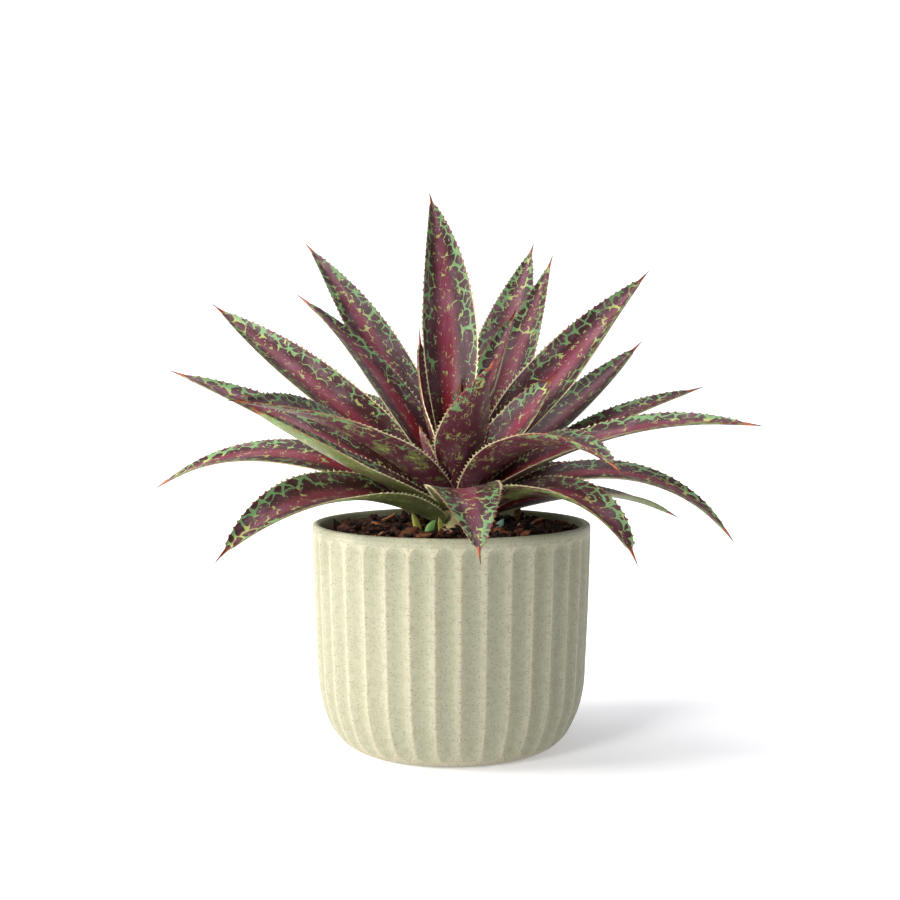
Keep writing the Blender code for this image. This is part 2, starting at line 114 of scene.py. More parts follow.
# Azimuth, root height, length, width, rise, tip rise, sweep, roll, tip roll, fold, root share, and
# where it isn't LEAF_ROOT the root's distance. They go roughly from the lowest root to the highest.
LEAF_ROWS: tuple[tuple[float, ...], ...] = (
    (-10, 121, 158, 27, 37, -57, -8, 24, 11, 0.45, 0.34),
    (217, 121.5, 148, 34.5, 26, -45, 3, -3, -40, 1.05, 0.34),
    (27, 121.5, 144, 24.5, 17, -29, 2, 26, -2, 0.50, 0.34),
    (60, 121.5, 130, 24.5, 16, -3, 0, 37, 0, 0.65, 0.34),
    (149, 121.5, 112, 26, 22, -21, 1, -21, -22, 0.55, 0.36),
    (-38, 122.5, 124, 34, 33, -63, -7, 2, 9, 0.90, 0.36),
    (168, 124, 178, 30, 32, -34, -7, -24, -24, 0.45, 0.38),
    (88, 124, 162, 25, -1, 3, -7, -45, 18, 1.30, 0.36),
    (273, 129.3, 141, 36.2, 24, -43.5, 4, 10, -9.5, 0.38, 0.44),
    (117, 125.5, 138, 31, 19, 2, 0, 3, -25, 1.30, 0.34),
    (33, 125.5, 112, 31, 24, -14, 0, 0, 0, 1.00, 0.44),
    (172, 127.5, 169, 29.5, 31.5, 19, -4, -16, -28, 0.70, 0.34),
    (211, 129.5, 126, 32, 23, 32, 0, -15, -13, 0.70, 0.40),
    (112, 129.5, 160, 26.5, 28, 13, 2, -5, 4, 1.00, 0.42),
    (23, 130, 156, 28.5, 30, 15, -8, -9, 23, 0.70, 0.34),
    (-26, 131, 167, 29.5, 34, -8, 3, 24, 16, 0.55, 0.34),
    (226, 133, 154, 36, 36, 3, -2, 7, -32, 0.95, 0.50),
    (68, 133.5, 149, 24, 29, 12, 4, 21, -2, 0.45, 0.34),
    (34, 134, 151, 31, 31, 38, 2, 6, 16, 0.80, 0.38),
    (-49, 134, 125, 34, 45, -37, 0, 7, -2, 0.85, 0.44),
    (110, 134, 127, 20.5, 28, 40, 3, -17, -7, 0.80, 0.34),
    (148, 134.5, 190, 35, 34, 34, 5, 1, -47, 1.10, 0.44),
    (278, 140, 108, 32.5, 46, 32, 11, 0, 46, 0.90, 0.50),
    (128, 140.5, 193, 31.5, 52, 38, 4, -9, -10, 0.50, 0.34),
    (65.3, 144.8, 170, 28, 37.7, 62.3, -14.6, 28.4, 2.8, 0.73, 0.34),
    (30, 143, 167, 35, 44, 44, -1, 41, 22, 1.20, 0.34),
    (152, 145, 136, 31.5, 58, 34, 3, -11, 2, 0.45, 0.46),
    (73, 141.6, 212, 34, 39.4, 44.4, -2, 23, 5.2, 0.57, 0.34),
    (5, 145.5, 75, 27.5, 44.5, 59, 2, 27, 42.5, 1.00, 0.44),
    (197, 145.5, 30, 11, 64, 76, 1, 5, 0, 0.80, 0.60),
    (330, 147, 30, 10, 64, 72, 6, -23.5, 0, 1.00, 0.60),
    (62, 148.5, 111, 26, 54, 53, -3, -24, -6, 1.30, 0.34, HEART_ROOT),
    (140, 148.5, 79, 23, 66, 92, -2, 26, 9, 0.80, 0.38, HEART_ROOT),
    (70, 152.5, 36, 12, 72, 82, -4, -38, -3, 0.45, 0.50, INNER_ROOT),
    (106, 153, 160, 35, 91, 50, -1, -13, 5, 1.30, 0.34),
    (262, 147.9, 46, 13, 86, 60, 85, 0, 0, 1.30, 0.50, BUD_ROOT),
    (87, 147.9, 50, 13, 87, 78, -75, 0, 0, 1.30, 0.50, BUD_ROOT),
)
LEAVES = tuple(LeafPlan(f"leaf_{number:02d}", *row) for number, row in enumerate(LEAF_ROWS, 1))


def linear(code: str) -> tuple[float, float, float, float]:
    """Turns an sRGB hex colour into linear light.

    Args:
        code: six hex digits.

    Returns:
        Red, green, blue and an alpha of 1.
    """
    parts = (int(code[k : k + 2], 16) / 255 for k in (0, 2, 4))
    red, green, blue = (v / 12.92 if v <= 0.04045 else ((v + 0.055) / 1.055) ** 2.4 for v in parts)
    return red, green, blue, 1.0


class Shader:
    """The node tree of one material."""

    def __init__(self, name: str) -> None:
        """Starts an empty tree with an output."""
        self.material = bpy.data.materials.new(name)
        self.material.use_nodes = True
        self.tree = self.material.node_tree
        self.tree.nodes.clear()

    def add(
        self, kind: str, *inputs: Any, named: dict | None = None, out: int | str = 0, **settings: Any
    ) -> Any:
        """Adds one node with its settings and links.

        Args:
            kind: the node's type without its ShaderNode prefix.
            inputs: values or sockets for its first inputs in order; None leaves one alone.
            named: values or sockets for inputs by name or number.
            out: the output to return.
            settings: the node's own properties; stops fills a colour ramp.

        Returns:
            The output socket, or the node itself where it has none.
        """
        node = self.tree.nodes.new("ShaderNode" + kind)
        for position, colour in settings.pop("stops", ()):
            ramp = node.color_ramp.elements
            ends = {0.0: 0, 1.0: len(ramp) - 1}
            stop = ramp[ends[position]] if position in ends else ramp.new(position)
            stop.color = linear(colour)
        for key, value in settings.items():
            setattr(node, key, value)
        for key, value in [*enumerate(inputs), *(named or {}).items()]:
            if value is None:
                continue
            if isinstance(value, bpy.types.NodeSocket):
                self.tree.links.new(value, node.inputs[key])
            else:
                node.inputs[key].default_value = value
        return node.outputs[out] if len(node.outputs) else node

    def math(self, operation: str, *values: Any) -> Any:
        """Works out one number from others."""
        return self.add("Math", *values, operation=operation)

    def step(self, value: Any, low: float, high: float, start: float = 0.0, end: float = 1.0) -> Any:
        """Takes a number smoothly from start to end while the value goes from low to high."""
        return self.add("MapRange", value, low, high, start, end, interpolation_type="SMOOTHSTEP")

    def sway(self, noisy: Any, amount: Any, base: Any) -> Any:
        """Shifts a base to both sides by an amount times noise from 0 to 1."""
        return self.math("MULTIPLY_ADD", self.math("SUBTRACT", noisy, 0.5), amount, base)

    def contour(self, noisy: Any, near: float, far: float) -> Any:
        """Draws thin lines where noise is close to its middle value."""
        return self.step(self.math("ABSOLUTE", self.math("SUBTRACT", noisy, 0.5)), near, far, 1.0, 0.0)

    def grain(self, place: Any, size: Triple, detail: float = 2.0, rough: float = 0.5) -> Any:
        """Makes noise whose features are about size millimetres along each axis, from 0 to 1."""
        scaled = self.add("VectorMath", place, tuple(1.0 / s for s in size), operation="MULTIPLY")
        return self.add("TexNoise", scaled, named={"Scale": 1.0, "Detail": detail, "Roughness": rough})

    def paint(self, base: Any, *layers: tuple[Any, Any]) -> Any:
        """Lays colours over a base, each where its mask is above 0.

        Args:
            base: a hex colour or a colour socket.
            layers: pairs of a mask socket and a hex colour or colour socket.

        Returns:
            The mixed colour's socket.
        """
        colour = linear(base) if isinstance(base, str) else base
        for mask, over in layers:
            top = linear(over) if isinstance(over, str) else over
            colour = self.add("Mix", mask, named={6: colour, 7: top}, data_type="RGBA", out=2)
        return colour

    def bump(self, height: Any, depth_mm: float, below: Any = None) -> Any:
        """Turns a height from 0 to 1 into a normal, depth_mm deep."""
        named = {"Strength": 1.0, "Distance": depth_mm * MM, "Height": height, "Normal": below}
        return self.add("Bump", named=named)

    def finish(self, colour: Any, roughness: Any, normal: Any = None, **constants: float) -> Material:
        """Joins colour, roughness and normal to the surface and closes the tree.

        Args:
            colour: the base colour.
            roughness: a number or a socket.
            normal: a socket, or None.
            constants: values for other inputs of the surface, with underscores for spaces.

        Returns:
            The finished material.
        """
        named = {"Base Color": colour, "Roughness": roughness, "Normal": normal}
        named |= {key.replace("_", " "): value for key, value in constants.items()}
        surface = self.add("BsdfPrincipled", named=named)
        self.add("OutputMaterial", surface)
        return self.material


def new_piece(name: str, points: Array, faces: Array, sharp_deg: float = 180.0) -> Piece:
    """Makes a smooth-shaded object from points in millimetres.

    Args:
        name: the piece's name.
        points: n by 3 millimetres.
        faces: m by 3 corner numbers.
        sharp_deg: edges that turn by more than this stay sharp.

    Returns:
        The new object, linked to the scene.
    """
    mesh = bpy.data.meshes.new(name)
    count, corners = faces.shape
    mesh.vertices.add(len(points))
    mesh.vertices.foreach_set("co", (points * MM).astype(np.float32).ravel())
    mesh.loops.add(count * corners)
    mesh.loops.foreach_set("vertex_index", faces.astype(np.int32).ravel())
    mesh.polygons.add(count)
    mesh.polygons.foreach_set("loop_start", np.arange(0, count * corners, corners, dtype=np.int32))
    mesh.update(calc_edges=True)
    mesh.validate()
    mesh.shade_smooth()
    if sharp_deg < 180.0:
        mesh.set_sharp_from_angle(angle=math.radians(sharp_deg))
    made = bpy.data.objects.new(name, mesh)
    bpy.context.scene.collection.objects.link(made)
    return made


def tube_faces(rings: int, around: int) -> Array:
    """Gives the triangles of a closed tube of rings, with a fan over each end.

    Args:
        rings: how many rings of points there are.
        around: how many points a ring has.

    Returns:
        m by 3 corner numbers. The fans meet in two extra points, rings * around and the next.
    """
    row = np.arange(rings - 1)[:, None] * around
    here = np.arange(around)[None]
    after = (here + 1) % around
    quads = np.stack([row + here, row + after, row + around + after, row + around + here], -1).reshape(-1, 4)
    triangles = np.concatenate([quads[:, [0, 1, 2]], quads[:, [0, 2, 3]]])
    first, last = rings * around, rings * around + 1
    here, after = here[0], after[0]
    start = np.stack([np.full(around, first), after, here], -1)
    top = (rings - 1) * around
    end = np.stack([np.full(around, last), top + here, top + after], -1)
    return np.concatenate([triangles, start, end])


def circle(radius: Any, turn: Array, height: float, x: float = 0.0) -> Array:
    """Places points round the z axis, or round a line at x beside it."""
    return np.stack([x + radius * np.cos(turn), radius * np.sin(turn), height + 0 * turn], -1)


def with_ends(rings: Array) -> Array:
    """Lists the points of rings in order, then the middles of the first and the last ring."""
    return np.concatenate([rings.reshape(-1, 3), rings[0].mean(0)[None], rings[-1].mean(0)[None]])


def loft(name: str, rings: Array, sharp_deg: float = 180.0) -> Piece:
    """Skins closed rings of points into one closed piece that faces outwards.

    Args:
        name: the piece's name.
        rings: n by m by 3 millimetres.
        sharp_deg: edges that turn by more than this stay sharp.

    Returns:
        The object; its points are the rings in order, then the middles of both ends.
    """
    count, around, _ = rings.shape
    points, faces = with_ends(rings), tube_faces(count, around)
    corners = points[faces]
    volume = np.einsum("ij,ij->i", corners[:, 0], np.cross(corners[:, 1], corners[:, 2])).sum()
    return new_piece(name, points, faces if volume > 0 else faces[:, ::-1], sharp_deg)


def tag(piece: Piece, name: str, values: Array) -> None:
    """Keeps three numbers a point on the mesh, for its material to read."""
    layer = piece.data.attributes.new(name, "FLOAT_VECTOR", "POINT")
    layer.data.foreach_set("vector", values.astype(np.float32).ravel())


def settle(piece: Piece, material: Material, slot: Slot, *nodes: str) -> None:
    """Dresses a piece, fixes it to the pot's body and lets it stand for its CAD nodes."""
    piece.data.materials.append(material)
    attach(piece, BODY)
    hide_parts(*nodes)
    LOG.info("%s: %d faces, for %s", piece.name, len(piece.data.polygons), ", ".join(nodes))


@dataclass(frozen=True)
class SucculentLeafSkin:
    """Waxy leaf skin, grown. Red cells lie under a thin wax bloom, and green shows where they part."""

    name: str = "waxy_leaf_skin"
    heart_red: str = "820a1b"
    rose: str = "803244"
    dusk: str = "62343f"
    flank: str = "331a1d"
    net_green: str = "6d9560"
    net_lime: str = "a9b46a"
    wax: str = "b08a98"
    fleck: str = "ddc9c4"
    under_green: str = "727d42"
    under_maroon: str = "572531"
    margin_cream: str = "ddd3a6"
    tooth_brown: str = "8c4a35"
    spine_orange: str = "9a5430"
    spine_dark: str = "3c1c14"
    cell_mm: Pair = (4.7, 6.2)

    def make(self) -> Material:
        """Builds the skin from three facts kept on each leaf.

        "plan" is across and along the leaf in mm, shifted for each leaf. "share" is the distance from
        the midline and from the root as shares, and 1 on the upper face or 0 below. "rim" is the distance
        to the margin and to the tip in mm, and how green this leaf's lower face is.

        Returns:
            The material.
        """
        g = Shader(self.name)
        plan, share, rim = (
            g.add("Attribute", attribute_name=fact, out="Vector") for fact in ("plan", "share", "rim")
        )
        across, along, face = (g.add("SeparateXYZ", share, out=k) for k in range(3))
        edge, tip, green_below = (g.add("SeparateXYZ", rim, out=k) for k in range(3))
        upper = g.step(face, 0.45, 0.55)

        # The net of green between the cells: close and wide at the margins and tip, broken inwards.
        wander = g.add("TexNoise", plan, named={"Scale": 0.16, "Detail": 1.0}, out="Color")
        wander = g.add("VectorMath", wander, (0.5, 0.5, 0.5), operation="SUBTRACT")
        bent = g.add("VectorMath", wander, (4.5, 6.0, 0.0), plan, operation="MULTIPLY_ADD")
        cell = (1 / self.cell_mm[0], 1 / self.cell_mm[1], 1.0)
        bent = g.add("VectorMath", bent, cell, operation="MULTIPLY")
        cells = {"Scale": 1.0, "Randomness": 0.9}
        gap = g.add("TexVoronoi", bent, named=cells, voronoi_dimensions="2D", feature="DISTANCE_TO_EDGE")
        corner = g.add("TexVoronoi", bent, named=cells, voronoi_dimensions="2D")
        corner = g.math("MAXIMUM", g.math("SUBTRACT", corner, 0.42), 0.0)
        gap = g.math("MULTIPLY_ADD", corner, -0.55, gap)
        broken = g.grain(plan, (4.6, 6.4, 1.0), 1.0)
        thin = g.grain(plan, (13.0, 22.0, 1.0))
        reach = g.step(across, 0.15, 0.85, -0.205, 0.04)
        towards_tip = g.step(along, 0.45, 0.95, 0.0, 0.12)
        from_root = g.step(along, 0.08, 0.6, -0.17, 0.0)
        width = g.math("ADD", g.math("ADD", reach, towards_tip), from_root)
        ragged = g.step(across, 0.25, 0.8, 0.62, 0.26)
        width = g.sway(thin, 0.3, g.sway(broken, ragged, width))
        above = g.step(face, 0.45, 0.55, -0.07, 0.0)
        width = g.math("ADD", width, above)
        net = g.step(g.math("SUBTRACT", width, gap), -0.025, 0.03)

        # Short pale scribbles and wax flecks that run with the leaf.
        scribble = g.contour(g.grain(bent, (0.45, 0.9, 1.0), 1.0), 0.02, 0.045)
        patch = g.grain(plan, (5.0, 9.0, 1.0), 2.0)
        scribble = g.math("MULTIPLY", scribble, g.step(patch, 0.50, 0.62))
        flecks = g.step(g.grain(plan, (0.62, 2.6, 1.0), 1.0), 0.69, 0.73)
        curls = g.contour(g.grain(bent, (0.6, 0.8, 1.0), 1.0), 0.022, 0.045)
        curls = g.math("MULTIPLY", curls, g.step(g.grain(plan, (3.4, 5.0, 1.0), 0.0), 0.64, 0.68))
        streaks = g.grain(plan, (0.7, 26.0, 1.0), 3.0, 0.6)
        bloom = g.grain(plan, (9.0, 24.0, 1.0), 3.0, 0.6)

        # The upper face goes from deep red at the heart through rose to dusky maroon at the flanks.
        red = g.step(g.math("MULTIPLY_ADD", bloom, 0.25, along), 0.22, 0.62, 1.0, 0.0)
        flank = g.step(g.sway(bloom, 0.3, across), 0.12, 0.45)
        dusk = g.step(along, 0.45, 0.95)
        base = g.paint(self.rose, (dusk, self.dusk), (red, self.heart_red))
        base = g.paint(base, (g.math("MULTIPLY", flank, 0.9), self.flank))
        waxed = g.math("MULTIPLY", g.step(bloom, 0.42, 0.75, 0.0, 0.30), g.step(along, 0.12, 0.5, 0.2, 1.0))
        base = g.paint(base, (waxed, self.wax), (g.step(streaks, 0.56, 0.8, 0.0, 0.22), self.wax))
        lime = g.step(across, 0.30, 0.62, 1.0, 0.0)
        green = g.paint(self.net_green, (lime, self.net_lime))
        top = g.paint(base, (g.math("MULTIPLY", curls, 0.85), self.net_lime), (net, green))
        top = g.paint(top, (g.math("MULTIPLY", flecks, 0.7), self.fleck))

        # The lower face is green under its bloom on low leaves and maroon on high ones, both blotched.
        blotch = g.grain(bent, (1.3, 3.0, 1.0), 3.0, 0.55)
        blotch = g.math("MULTIPLY_ADD", green_below, 0.5, g.math("SUBTRACT", blotch, 0.25))
        below = g.paint(self.under_maroon, (g.step(blotch, 0.44, 0.56), self.under_green))
        below = g.paint(below, (g.step(bloom, 0.4, 0.78, 0.02, 0.18), self.wax))
        below = g.paint(below, (g.math("MULTIPLY", scribble, 0.8), self.net_lime), (net, green))
        below = g.paint(below, (g.math("MULTIPLY", flecks, 0.6), self.fleck))
        colour = g.paint(below, (upper, top))

        # A cream line and teeth at the margin, browner towards the tip, then the horny spine.
        brown = g.step(along, 0.35, 0.75)
        horn = g.paint(self.margin_cream, (brown, self.tooth_brown))
        line = g.step(edge, 0.30, 0.60, 1.0, 0.0)
        fade = g.step(along, 0.45, 0.9, 1.0, 0.35)
        tooth = g.step(edge, -0.35, -0.05, 1.0, 0.0)
        line = g.math("MAXIMUM", g.math("MULTIPLY", line, fade), tooth)
        spine = g.paint(self.spine_orange, (g.step(tip, 1.5, 6.5, 1.0, 0.0), self.spine_dark))
        colour = g.paint(colour, (line, horn), (g.step(tip, 8.0, 12.0, 1.0, 0.0), spine))

        ridges = g.bump(g.grain(plan, (1.1, 30.0, 1.0), 2.0), 0.12)
        normal = g.bump(g.grain(plan, (0.5, 0.9, 1.0), 2.0), 0.04, ridges)
        rough = g.step(bloom, 0.3, 0.8, 0.40, 0.56)
        return g.finish(colour, rough, normal, IOR=1.42, Specular_IOR_Level=0.45)


@dataclass(frozen=True)
class StonewareGlaze:
    """Matte stoneware glaze, fired. It breaks pale over the ridges and pools darker in the flutes, with a
    painted highlight on the ridges and painted shade in the flutes, and iron specks and fibres show in it.
    """

    name: str = "matte_stoneware_glaze"
    sage: str = "a09f88"
    grey: str = "97977f"
    pale_break_and_ridge_highlight: str = "bfb49c"
    pooled_glaze_and_flute_shade: str = "84846e"
    speck: str = "4c4236"
    dash: str = "706d59"
    rust: str = "8d6a4b"

    def make(self) -> Material:
        """Builds the glaze from "wrap": round the wall and up it in mm, and 1 on the ridges."""
        g = Shader(self.name)
        wrap = g.add("Attribute", attribute_name="wrap", out="Vector")
        ridge = g.add("SeparateXYZ", wrap, out=2)
        flat = g.add("VectorMath", wrap, (1.0, 1.0, 0.0), operation="MULTIPLY")
        cloud = g.grain(flat, (4.5, 4.0, 1.0), 4.0, 0.65)
        mottle = g.grain(flat, (1.1, 1.1, 1.0), 3.0, 0.65)
        colour = g.paint(self.sage, (g.step(cloud, 0.4, 0.62), self.grey))
        colour = g.paint(colour, (g.step(mottle, 0.45, 0.75, 0.0, 0.16), self.dash))
        # Darker towards the bottom of each flute: pooled glaze together with painted shade in the hollows.
        colour = g.paint(colour, (g.step(ridge, 0.0, 0.7, 0.45, 0.0), self.pooled_glaze_and_flute_shade))
        # Paler along the ridges: the glaze's pale break together with a painted highlight.
        colour = g.paint(colour, (g.math("MULTIPLY", g.step(ridge, 0.84, 1.0), 0.5), self.pale_break_and_ridge_highlight))
        for size, length, width, share, tint in (
            (2.3, 0.95, 0.15, 0.6, self.dash),
            (3.1, 0.27, 0.24, 0.32, self.speck),
            (6.3, 0.36, 0.3, 0.3, self.rust),
        ):
            # One mark a cell, turned its own way: a dash where it is long, a speck where it is round.
            spots = {"Scale": 1.0 / size, "Randomness": 1.0}
            near, draw = (
                g.add("TexVoronoi", flat, named=spots, voronoi_dimensions="2D", out=part)
                for part in ("Position", "Color")
            )
            pick, turn = (g.add("SeparateXYZ", draw, out=k) for k in (0, 1))
            away = g.add("VectorMath", flat, near, operation="SUBTRACT")
            angle = {"Angle": g.math("MULTIPLY", turn, 6.28)}
            turned = g.add("VectorRotate", away, rotation_type="Z_AXIS", named=angle)
            shaped = g.add("VectorMath", turned, (1 / length, 1 / width, 0.0), operation="MULTIPLY")
            far = g.add("VectorMath", shaped, operation="LENGTH", out="Value")
            mark = g.math("MULTIPLY", g.step(far, 0.75, 1.25, 1.0, 0.0), g.math("LESS_THAN", pick, share))
            colour = g.paint(colour, (g.math("MULTIPLY", mark, 0.75), tint))
        pores = g.bump(mottle, 0.10)
        normal = g.bump(g.grain(flat, (0.45, 0.45, 1.0), 1.0), 0.05, pores)
        return g.finish(colour, g.step(cloud, 0.2, 0.8, 0.55, 0.68), normal, IOR=1.5, Specular_IOR_Level=0.4)


@dataclass(frozen=True)
class ChippedBark:
    """Composted pine bark, chipped and torn. Its broken faces run from near black to red-brown."""

    name: str = "composted_pine_bark"
    tones: tuple[tuple[float, str], ...] = (
        (0.0, "140b08"),
        (0.35, "2a160f"),
        (0.62, "452317"),
        (0.82, "643822"),
        (0.93, "86552f"),
        (0.98, "b0937a"),
        (1.0, "cfc2b2"),
    )

    def make(self) -> Material:
        """Builds the bark from "bark": a tone for each chip, and "fibre": places along its grain in mm."""
        g = Shader(self.name)
        tone = g.add("SeparateXYZ", g.add("Attribute", attribute_name="bark", out="Vector"))
        fibre = g.add("Attribute", attribute_name="fibre", out="Vector")
        strand = g.grain(fibre, (2.6, 0.4, 0.4), 3.0, 0.7)
        crumb = g.grain(fibre, (0.8, 0.8, 0.8), 3.0, 0.6)
        colour = g.add("ValToRGB", g.sway(strand, 0.5, tone), stops=self.tones)
        colour = g.paint(colour, (g.step(crumb, 0.52, 0.75, 0.0, 0.55), self.tones[0][1]))
        grain = g.bump(strand, 0.35)
        return g.finish(colour, 0.82, g.bump(crumb, 0.15, grain), IOR=1.45, Specular_IOR_Level=0.3)


@dataclass(frozen=True)
class PottingFines:
    """Screened potting mix, pressed in by hand. It is dark, damp and crumbly between the chips."""

    name: str = "screened_potting_mix"
    damp: str = "110906"
    crumb: str = "2b180f"
    pale: str = "5f432f"

    def make(self) -> Material:
        """Builds the mix from the places of its own points, in mm."""
        g = Shader(self.name)
        place = g.add("VectorMath", g.add("TexCoord", out="Object"), (1000.0,) * 3, operation="MULTIPLY")
        fine = g.grain(place, (1.1, 1.1, 1.1), 4.0, 0.7)
        dots = g.grain(place, (0.5, 0.5, 0.5), 2.0)
        crumbs, pale = g.step(fine, 0.42, 0.7), g.step(dots, 0.72, 0.8)
        colour = g.paint(self.damp, (crumbs, self.crumb), (pale, self.pale))
        return g.finish(colour, 0.9, g.bump(fine, 0.8), IOR=1.45, Specular_IOR_Level=0.25)


@dataclass(frozen=True)
class ShootSkin:
    """Young green plant skin, grown. It is fibrous and pale at the foot and dries brown at the tip."""

    name: str
    foot: str
    middle: str
    tip: str

    def make(self) -> Material:
        """Builds the skin from "grow": the share of the way up, and places round and along in mm."""
        g = Shader(self.name)
        grow = g.add("Attribute", attribute_name="grow", out="Vector")
        rise = g.add("SeparateXYZ", grow)
        strand = g.grain(grow, (0.3, 0.35, 6.0), 2.0)
        climb = g.sway(strand, 0.2, rise)
        tones = ((0.0, self.foot), (0.4, self.middle), (0.8, self.middle), (1.0, self.tip))
        colour = g.add("ValToRGB", climb, stops=tones)
        return g.finish(colour, 0.5, g.bump(strand, 0.1), IOR=1.42, Specular_IOR_Level=0.4)


def leaf_frame(leaf: LeafPlan, shares: Array) -> tuple[Array, ...]:
    """Follows a leaf's midline.

    Args:
        leaf: the leaf.
        shares: places along it, from 0 at the root to 1 at the tip.

    Returns:
        Points, tangents, sideways and upward directions, each n by 3.
    """
    s = np.linspace(0.0, 1.0, MIDLINE_STEPS)
    rise = np.radians(leaf.rise + (leaf.tip_rise - leaf.rise) * s**1.3)
    turn = np.radians(leaf.azimuth + leaf.sweep * s**1.5)
    tangent = np.stack([np.cos(rise) * np.cos(turn), np.cos(rise) * np.sin(turn), np.sin(rise)], -1)
    point = np.zeros((len(s), 3))
    point[1:] = np.cumsum((tangent[1:] + tangent[:-1]) / 2 * leaf.length / (len(s) - 1), axis=0)
    way = math.radians(leaf.azimuth)
    point += (PLANT_X + leaf.root * math.cos(way), leaf.root * math.sin(way), leaf.root_height)
    side = np.stack([-np.sin(turn), np.cos(turn), 0 * turn], -1)
    normal = np.cross(tangent, side)
    rows = (point, tangent, side, normal)
    point, tangent, side, normal = (
        np.stack([np.interp(shares, s, row[:, k]) for k in range(3)], -1) for row in rows
    )
    roll = np.radians(leaf.roll + (leaf.tip_roll - leaf.roll) * shares)[:, None]
    return (
        point,
        tangent,
        side * np.cos(roll) + normal * np.sin(roll),
        normal * np.cos(roll) - side * np.sin(roll),
    )


@dataclass
class MangaveLeaf:
    """One leaf with its margin teeth and its horny spine.

    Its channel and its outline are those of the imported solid, and its margin is a little thinner. The
    teeth are set closer, at their real spacing.
    """

    plan: LeafPlan
    seed: int
    widest_at: float = 0.38
    fold_deg: Triple = (40.0, 26.0, 38.0)
    pitch: Pair = (2.7, 3.9)
    tooth: Pair = (1.7, 0.75)
    toothed: Pair = (0.05, 0.93)
    spine_length: float = 9.5
    spine_share: float = 0.13
    spine_radius: float = 0.85
    margin_wall: float = 0.55
    # The share of the fold that the midrib already has.
    rib_bend: float = 0.35
    maroon_from_deg: float = 42.0
    green_fade_deg: float = 18.0
    pattern_shift: Pair = (37.0, 91.0)
    top_row: tuple[float, ...] = (
        -0.975, -0.9, -0.76, -0.58, -0.38, -0.18, 0.0, 0.18, 0.38, 0.58, 0.76, 0.9, 0.975
    )
    under_row: tuple[float, ...] = (0.94, 0.76, 0.5, 0.24, 0.0, -0.24, -0.5, -0.76, -0.94)

    def shares(self, rng: np.random.Generator) -> Array:
        """Spaces the rings: four to a pair of teeth, then closer along the spine.

        Args:
            rng: the leaf's own draws.

        Returns:
            Rising shares of the length, from 0 to 1. Those from the fourth on come in fours.
        """
        length = self.plan.length
        at, places = self.toothed[0] * length, [0.0, 0.025 * length]
        while at < self.toothed[1] * length:
            pitch = np.interp(at / length, (0.1, 0.8), self.pitch) * rng.uniform(0.8, 1.25)
            places += [at, at + 0.25 * pitch, at + 0.5 * pitch, at + 0.75 * pitch]
            at += pitch
        rest = np.linspace(at, length, SPINE_RINGS)[:-1]
        return np.array([*places, *rest, length - 0.05]) / length

    def half_width(self, s: Array) -> Array:
        """Gives half the blade's flat width at each share."""
        leaf, peak = self.plan, self.widest_at
        root = leaf.root_share + (1 - leaf.root_share) * np.sin(np.clip(s / peak, 0, 1) * math.pi / 2)
        taper = 1 - np.clip((s - peak) / 0.585, 0, 1) ** 2
        blade = np.where(s < peak, root, taper) * leaf.width / 2
        tip = np.where(s > 0.8, 1.15 * np.clip((1 - s) / 0.06, 0, 1) ** 0.9 + 0.15, 0)
        return np.maximum(blade, tip)

    def blade(self, s: Array, u: Array, below: bool) -> tuple[Array, Array]:
        """Places points on the upper or lower face.

        Args:
            s: shares along, n of them.
            u: shares across from -1 to 1, m of them.
            below: True for the lower face.

        Returns:
            Points and the outward directions across the blade there, both n by m by 3.
        """
        point, _, side, normal = leaf_frame(self.plan, s)
        bend = np.radians(np.interp(s, (0, 0.45, 1), self.fold_deg))[:, None] * self.plan.fold
        angle = bend * (self.rib_bend + np.abs(u))
        out = (np.sin(angle) - np.sin(self.rib_bend * bend)) / bend * np.sign(u)
        up = (np.cos(self.rib_bend * bend) - np.cos(angle)) / bend
        half = self.half_width(s)[:, None, None]
        rows = point[:, None] + half * (out[..., None] * side[:, None] + up[..., None] * normal[:, None])
        ways = np.sign(u)[None, :, None] * np.cos(angle)[..., None] * side[:, None]
        ways = ways + np.sin(angle)[..., None] * normal[:, None]
        if below:
            middle = np.interp(s, (0, 0.5, 0.9, 1), (2.7, 2.4, 1.5, 0.7))[:, None]
            wall = self.margin_wall + (middle - self.margin_wall) * (1 - np.abs(u)) ** 0.8
            lean = np.where(u == 0, 0.0, angle)[..., None]
            face = np.cos(lean) * normal[:, None] - np.sin(lean) * np.sign(u)[None, :, None] * side[:, None]
            rows = rows - face * wall[..., None]
        return rows, ways

    def margin(self, s: Array, side: Side, rng: np.random.Generator) -> tuple[Array, Array]:
        """Places the points of one margin, pulled out into teeth.

        Args:
            s: shares along.
            side: which margin.
            rng: the leaf's own draws.

        Returns:
            n by 3 points, and how far each stands out in mm.
        """
        edge = np.array([float(side.value)])
        top, ways = self.blade(s, edge, False)
        low, _ = self.blade(s, edge, True)
        _, tangent, _, _ = leaf_frame(self.plan, s)
        stands = np.zeros(len(s))
        first = 3 if side is Side.RIGHT else 5
        for k in range(first, len(s) - SPINE_RINGS - 1, 4):
            size = np.interp(s[k], (0.1, 0.85), self.tooth) * rng.uniform(0.6, 1.25)
            stands[k] = size * min(1.0, 0.35 + s[k] / 0.12)
        middle = (top[:, 0] + low[:, 0]) / 2
        return middle + stands[:, None] * (ways[:, 0] + 0.35 * tangent), stands

    def rings(self) -> tuple[Array, dict[str, Array]]:
        """Joins both faces and margins into rings and rounds the last of them into the spine.

        Returns:
            n by m by 3 points, and the facts that the skin reads, by name.
        """
        rng = np.random.default_rng(self.seed)
        s = self.shares(rng)
        over, under = np.array(self.top_row), np.array(self.under_row)
        top, _ = self.blade(s, over, False)
        low, _ = self.blade(s, under, True)
        right, right_out = self.margin(s, Side.RIGHT, rng)
        left, left_out = self.margin(s, Side.LEFT, rng)
        rings = np.concatenate([top, right[:, None], low, left[:, None]], axis=1)

